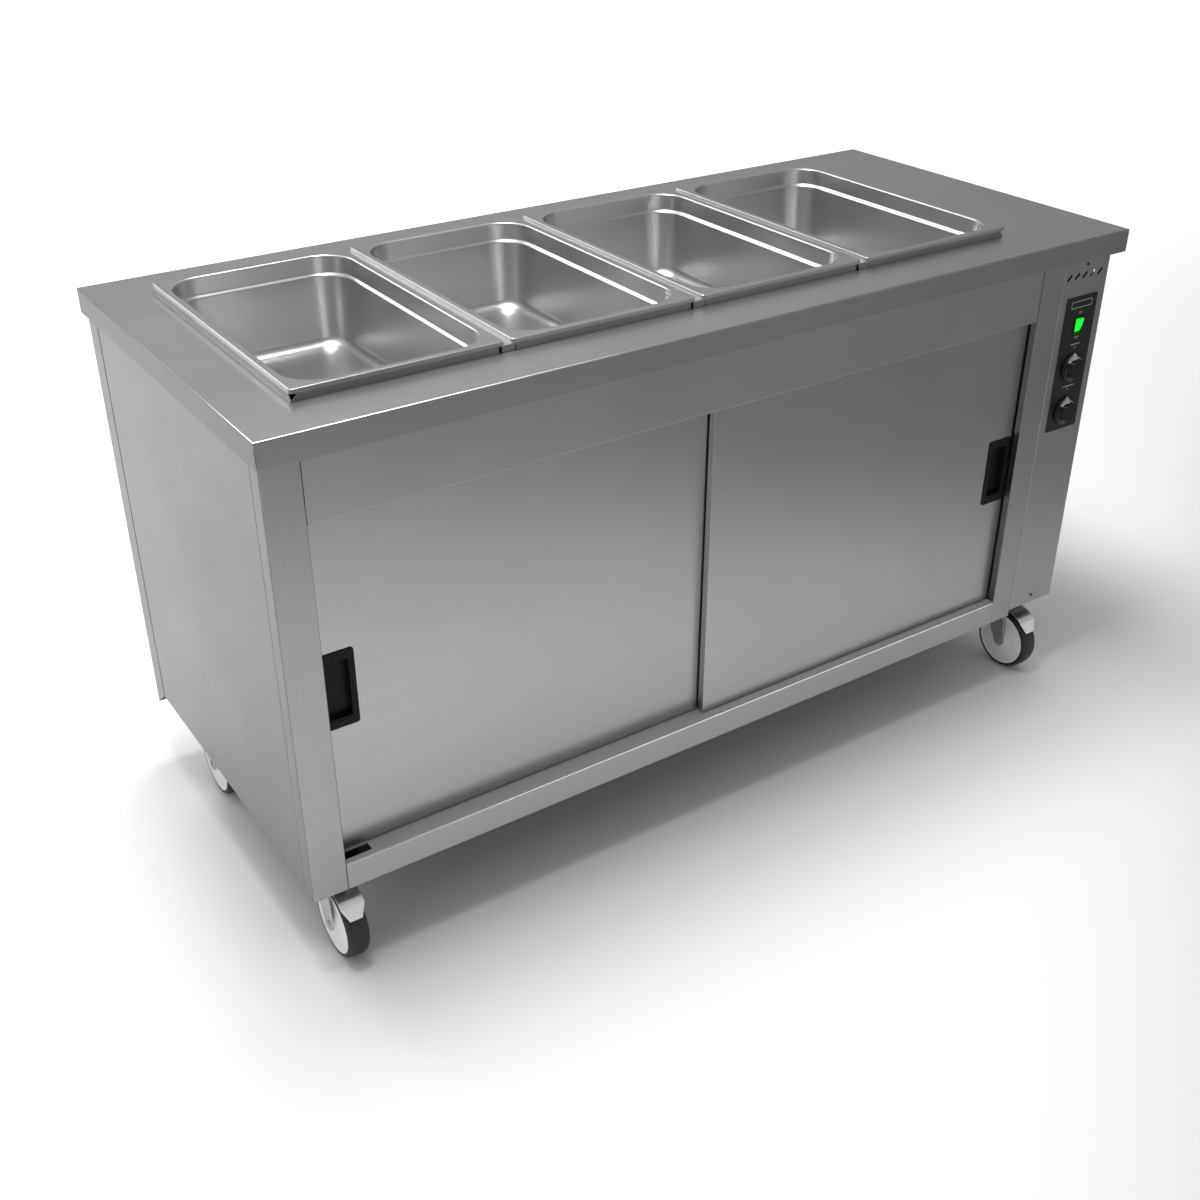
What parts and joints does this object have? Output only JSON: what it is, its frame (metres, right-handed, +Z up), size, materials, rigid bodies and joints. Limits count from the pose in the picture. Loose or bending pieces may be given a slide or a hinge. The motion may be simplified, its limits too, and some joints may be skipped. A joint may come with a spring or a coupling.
{
  "type": "mobile hot cupboard",
  "caption": "Mobile stainless hot cupboard with sliding doors below, a row of lift-out pans in a heated well above, controls at the right end and swivel castors.",
  "frame": {"origin": "on the floor, in the middle of the footprint", "axes": "+X to the right along the front, +Y to the back, +Z up; the doors and the controls face -Y"},
  "size_m": [1.65, 0.7394, 0.9168],
  "materials": {
    "satin_steel": "satin, fine brushed grain",
    "inner_steel": "mill finish",
    "pan_steel": "smooth pressed",
    "zinc_plate": "bright zinc plated",
    "element_sheath": "dark oxidised",
    "mineral_wool": "fibrous",
    "gloss_black": "glossy",
    "matt_black": "fine matt",
    "ivory_plastic": "matt",
    "white_plastic": "smooth",
    "grey_nylon": "smooth",
    "black_tyre": "matt rubber",
    "green_lens": "translucent, lit"
  },
  "bodies": {
    "cabinet": {"worktop": "satin_steel", "divider_bars": "satin_steel", "left_side_panel": "satin_steel", "right_side_panel": "satin_steel", "rear_panel": "satin_steel", "left_stile": "satin_steel", "right_stile": "satin_steel", "fascia_panel": "satin_steel", "bottom_rail": "satin_steel", "control_cover": "satin_steel", "well_tank": "inner_steel", "service_bulkhead": "inner_steel", "door_track": "inner_steel", "cupboard_floor": "inner_steel", "inner_liner": "inner_steel", "cupboard_ceiling": "inner_steel", "shelf": "inner_steel", "base_frame": "zinc_plate", "base_tray": "zinc_plate", "castor_plates": "zinc_plate", "castor_bolts": "zinc_plate", "cover_screws": "zinc_plate", "insulation": "mineral_wool", "control_plate": "gloss_black", "switch_body": "matt_black", "energy_regulator": "ivory_plastic", "thermostat": "ivory_plastic", "well_elements": "element_sheath", "cupboard_element": "element_sheath", "terminal_block": "ivory_plastic", "cable_gland": "matt_black"},
    "left_door": {"left_door": "satin_steel", "left_handle": "matt_black"},
    "right_door": {"right_door": "satin_steel", "right_handle": "matt_black"},
    "left_roller_outer": {"left_roller_outer": "white_plastic"},
    "left_roller_inner": {"left_roller_inner": "white_plastic"},
    "right_roller_inner": {"right_roller_inner": "white_plastic"},
    "right_roller_outer": {"right_roller_outer": "white_plastic"},
    "pan_1": {"pan_1": "pan_steel"},
    "pan_2": {"pan_2": "pan_steel"},
    "pan_3": {"pan_3": "pan_steel"},
    "pan_4": {"pan_4": "pan_steel"},
    "power_rocker": {"power_rocker": "green_lens"},
    "well_knob": {"well_knob": "gloss_black"},
    "cupboard_knob": {"cupboard_knob": "gloss_black"},
    "front_left_swivel": {"front_left_fork": "zinc_plate"},
    "front_left_wheel": {"front_left_disc": "grey_nylon", "front_left_tyre": "black_tyre"},
    "front_left_pedal": {"front_left_pedal": "zinc_plate"},
    "front_right_swivel": {"front_right_fork": "zinc_plate"},
    "front_right_wheel": {"front_right_disc": "grey_nylon", "front_right_tyre": "black_tyre"},
    "front_right_pedal": {"front_right_pedal": "zinc_plate"},
    "rear_left_swivel": {"rear_left_fork": "zinc_plate"},
    "rear_left_wheel": {"rear_left_disc": "grey_nylon", "rear_left_tyre": "black_tyre"},
    "rear_right_swivel": {"rear_right_fork": "zinc_plate"},
    "rear_right_wheel": {"rear_right_disc": "grey_nylon", "rear_right_tyre": "black_tyre"}
  },
  "joints": [
    {"name": "left_door_slide", "type": "slide", "parent": "cabinet", "child": "left_door", "axis": [1, 0, 0], "range_m": [0, 0.615]},
    {"name": "right_door_slide", "type": "slide", "parent": "cabinet", "child": "right_door", "axis": [-1, 0, 0], "range_m": [0, 0.69]},
    {"name": "left_roller_outer_spin", "type": "hinge", "parent": "left_door", "child": "left_roller_outer", "pos_m": [-0.687, -0.30465, 0.812], "axis": [0, 1, 0], "range_deg": [0, 3600]},
    {"name": "left_roller_inner_spin", "type": "hinge", "parent": "left_door", "child": "left_roller_inner", "pos_m": [-0.15375, -0.30465, 0.812], "axis": [0, 1, 0], "range_deg": [0, 3600]},
    {"name": "right_roller_inner_spin", "type": "hinge", "parent": "right_door", "child": "right_roller_inner", "pos_m": [0.00625, -0.32825, 0.812], "axis": [0, 1, 0], "range_deg": [-4000, 0]},
    {"name": "right_roller_outer_spin", "type": "hinge", "parent": "right_door", "child": "right_roller_outer", "pos_m": [0.5395, -0.32825, 0.812], "axis": [0, 1, 0], "range_deg": [-4000, 0]},
    {"name": "pan_1_lift", "type": "slide", "parent": "cabinet", "child": "pan_1", "axis": [0, 0, 1], "range_m": [0, 0.2]},
    {"name": "pan_2_lift", "type": "slide", "parent": "cabinet", "child": "pan_2", "axis": [0, 0, 1], "range_m": [0, 0.2]},
    {"name": "pan_3_lift", "type": "slide", "parent": "cabinet", "child": "pan_3", "axis": [0, 0, 1], "range_m": [0, 0.2]},
    {"name": "pan_4_lift", "type": "slide", "parent": "cabinet", "child": "pan_4", "axis": [0, 0, 1], "range_m": [0, 0.2]},
    {"name": "rocker_tilt", "type": "hinge", "parent": "cabinet", "child": "power_rocker", "pos_m": [0.72825, -0.34645, 0.741], "axis": [-1, 0, 0], "range_deg": [0, 26]},
    {"name": "well_knob_turn", "type": "hinge", "parent": "cabinet", "child": "well_knob", "pos_m": [0.72825, -0.35025, 0.661], "axis": [0, 1, 0], "range_deg": [0, 300]},
    {"name": "cupboard_knob_turn", "type": "hinge", "parent": "cabinet", "child": "cupboard_knob", "pos_m": [0.72825, -0.35025, 0.576], "axis": [0, 1, 0], "range_deg": [0, 285]},
    {"name": "front_left_swivel", "type": "hinge", "parent": "cabinet", "child": "front_left_swivel", "pos_m": [-0.7645, -0.26725, 0.145], "axis": [0, 0, 1], "continuous": true},
    {"name": "front_left_spin", "type": "hinge", "parent": "front_left_swivel", "child": "front_left_wheel", "pos_m": [-0.7645, -0.30725, 0.0625], "axis": [1, 0, 0], "continuous": true},
    {"name": "front_left_brake", "type": "hinge", "parent": "front_left_swivel", "child": "front_left_pedal", "pos_m": [-0.7645, -0.28823, 0.1335], "axis": [-1, 0, 0], "range_deg": [0, 18]},
    {"name": "front_right_swivel", "type": "hinge", "parent": "cabinet", "child": "front_right_swivel", "pos_m": [0.7265, -0.26725, 0.145], "axis": [0, 0, 1], "continuous": true},
    {"name": "front_right_spin", "type": "hinge", "parent": "front_right_swivel", "child": "front_right_wheel", "pos_m": [0.7265, -0.30725, 0.0625], "axis": [1, 0, 0], "continuous": true},
    {"name": "front_right_brake", "type": "hinge", "parent": "front_right_swivel", "child": "front_right_pedal", "pos_m": [0.7265, -0.28823, 0.1335], "axis": [-1, 0, 0], "range_deg": [0, 18]},
    {"name": "rear_left_swivel", "type": "hinge", "parent": "cabinet", "child": "rear_left_swivel", "pos_m": [-0.7645, 0.22775, 0.145], "axis": [0, 0, 1], "continuous": true},
    {"name": "rear_left_spin", "type": "hinge", "parent": "rear_left_swivel", "child": "rear_left_wheel", "pos_m": [-0.7645, 0.18775, 0.0625], "axis": [1, 0, 0], "continuous": true},
    {"name": "rear_right_swivel", "type": "hinge", "parent": "cabinet", "child": "rear_right_swivel", "pos_m": [0.7265, 0.22775, 0.145], "axis": [0, 0, 1], "continuous": true},
    {"name": "rear_right_spin", "type": "hinge", "parent": "rear_right_swivel", "child": "rear_right_wheel", "pos_m": [0.7265, 0.18775, 0.0625], "axis": [1, 0, 0], "continuous": true}
  ],
  "couplings": [
    {"joint": "left_roller_outer_spin", "follows": "left_door_slide", "rad_per_m": 100},
    {"joint": "left_roller_inner_spin", "follows": "left_door_slide", "rad_per_m": 100},
    {"joint": "right_roller_inner_spin", "follows": "right_door_slide", "rad_per_m": -100},
    {"joint": "right_roller_outer_spin", "follows": "right_door_slide", "rad_per_m": -100}
  ]
}
